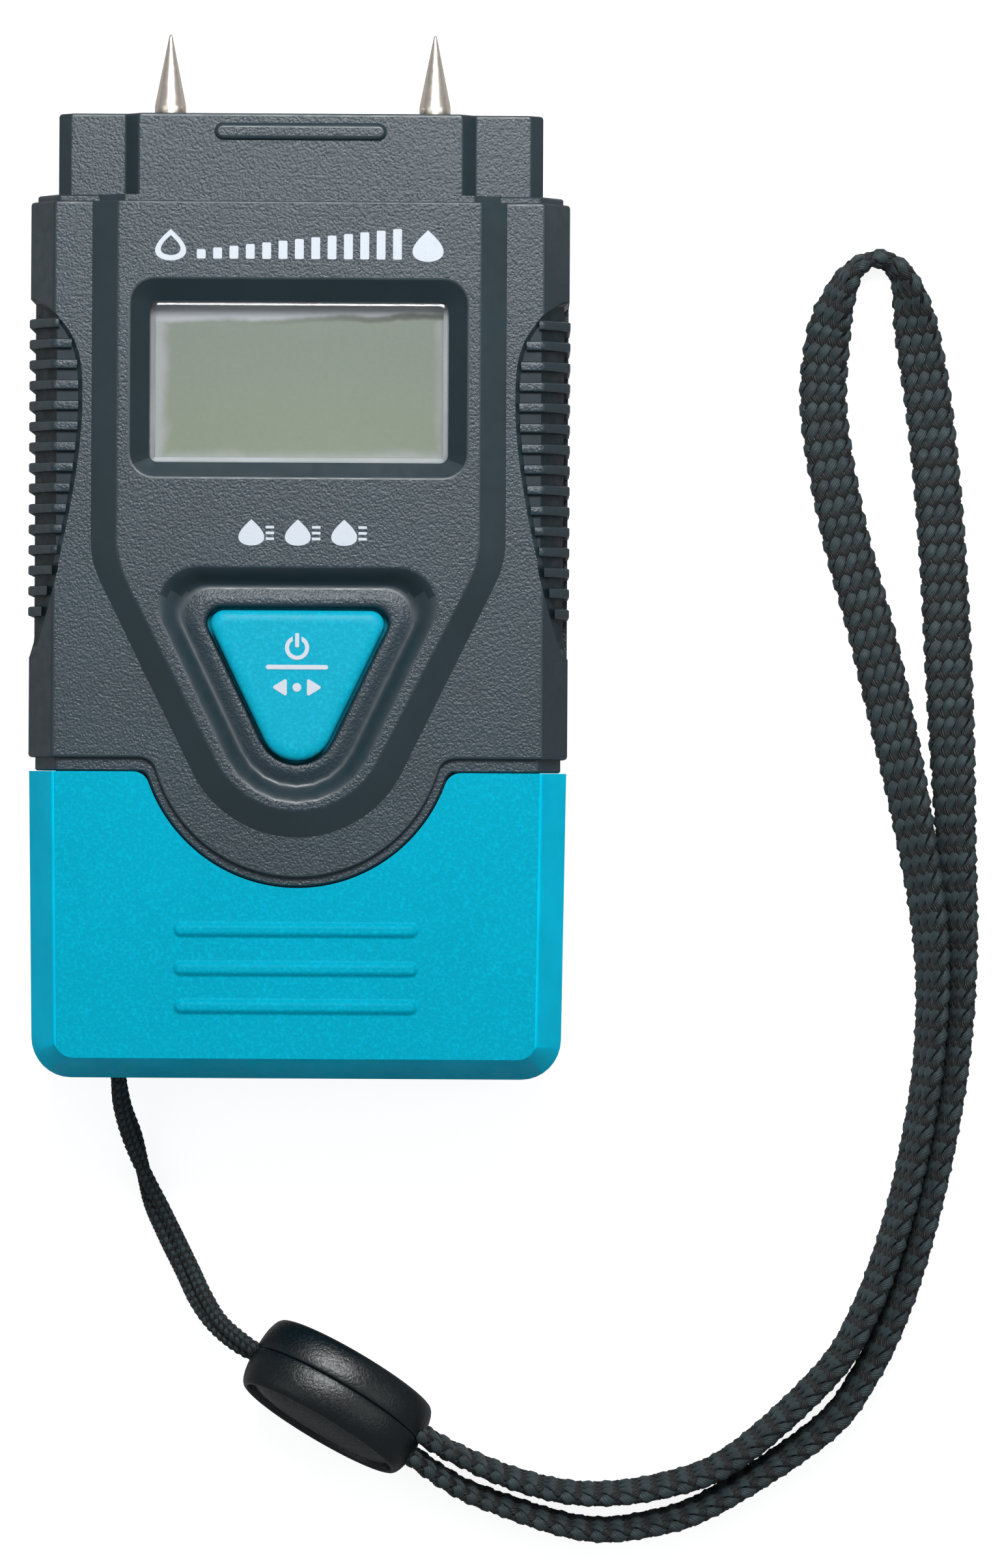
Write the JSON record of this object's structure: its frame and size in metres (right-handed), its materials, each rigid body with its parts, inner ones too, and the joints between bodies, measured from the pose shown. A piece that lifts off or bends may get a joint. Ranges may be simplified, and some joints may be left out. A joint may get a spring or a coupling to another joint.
{
  "type": "moisture meter",
  "caption": "Handheld moisture meter with needle electrodes, a display window, a triangular button, a removable blue end cap and a braided wrist strap on a bead.",
  "frame": {"origin": "middle of the box round the meter without its cord and strap, on the plane of the flat back", "axes": "+X to the right seen from the front, +Y towards the electrode tips, +Z out of the display panel"},
  "size_m": [0.0914, 0.145, 0.0262],
  "materials": {
    "case_plastic": "fine-grained moulded ABS, smooth on the bevels",
    "cap_plastic": "cyan-blue moulded ABS, finely grained",
    "button_rubber": "satin cyan-blue silicone, lightly crowned",
    "window_clear": "clear polished acrylic",
    "gasket_foam": "closed-cell foam",
    "lcd_glass": "grey-green liquid-crystal glass",
    "lcd_film": "satin reflective film",
    "holder_plastic": "white moulded plastic",
    "zebra_rubber": "layered conductive silicone",
    "board_laminate": "green solder-masked laminate",
    "chip_epoxy": "moulded epoxy",
    "thermistor_epoxy": "dipped epoxy bead",
    "switch_plastic": "moulded nylon",
    "plunger_plastic": "moulded nylon",
    "electrode_steel": "ground and polished stainless steel",
    "socket_brass": "turned brass",
    "lead_insulation": "insulated lead",
    "cradle_plastic": "moulded plastic",
    "cell_steel": "nickel-plated can",
    "contact_bronze": "plated spring bronze",
    "screw_steel": "zinc-plated steel",
    "cord_nylon": "braided nylon",
    "bead_plastic": "satin moulded plastic"
  },
  "bodies": {
    "case": {"front_shell": "case_plastic", "rear_shell": "case_plastic", "display_window": "window_clear", "display_gasket": "gasket_foam", "lcd_front_glass": "lcd_glass", "lcd_rear_glass": "lcd_glass", "lcd_reflector": "lcd_film", "lcd_holder": "holder_plastic", "zebra_connector": "zebra_rubber", "main_board": "board_laminate", "control_chip": "chip_epoxy", "thermistor": "thermistor_epoxy", "tact_switch_base": "switch_plastic", "electrode_left": "electrode_steel", "electrode_right": "electrode_steel", "electrode_socket_left": "socket_brass", "electrode_socket_right": "socket_brass", "electrode_lead_left": "lead_insulation", "electrode_lead_right": "lead_insulation", "battery_cradle": "cradle_plastic", "coin_cell_lower": "cell_steel", "coin_cell_middle": "cell_steel", "coin_cell_upper": "cell_steel", "battery_contact_positive": "contact_bronze", "battery_contact_negative": "contact_bronze", "case_screws": "screw_steel", "board_screws": "screw_steel"},
    "cap": {"end_cap": "cap_plastic", "lanyard_cord": "cord_nylon", "cord_bead_front": "bead_plastic", "cord_bead_back": "bead_plastic", "wrist_strap": "cord_nylon"},
    "button": {"power_button": "button_rubber"},
    "switch_plunger": {"tact_switch_plunger": "plunger_plastic"},
    "door": {"battery_door": "case_plastic"}
  },
  "joints": [
    {"name": "cap_slide", "type": "slide", "parent": "case", "child": "cap", "axis": [0, -1, 0], "range_m": [0, 0.03]},
    {"name": "button_press", "type": "slide", "parent": "case", "child": "button", "axis": [0, 0, -1], "range_m": [0, 0.0005], "stiffness_N_per_m": 3000},
    {"name": "switch_press", "type": "slide", "parent": "case", "child": "switch_plunger", "axis": [0, 0, -1], "range_m": [0, 0.0005]},
    {"name": "door_twist", "type": "hinge", "parent": "case", "child": "door", "pos_m": [0, 0.003, 0], "axis": [0, 0, 1], "range_deg": [0, 40]}
  ],
  "couplings": [
    {"joint": "switch_press", "follows": "button_press", "ratio": 1}
  ]
}
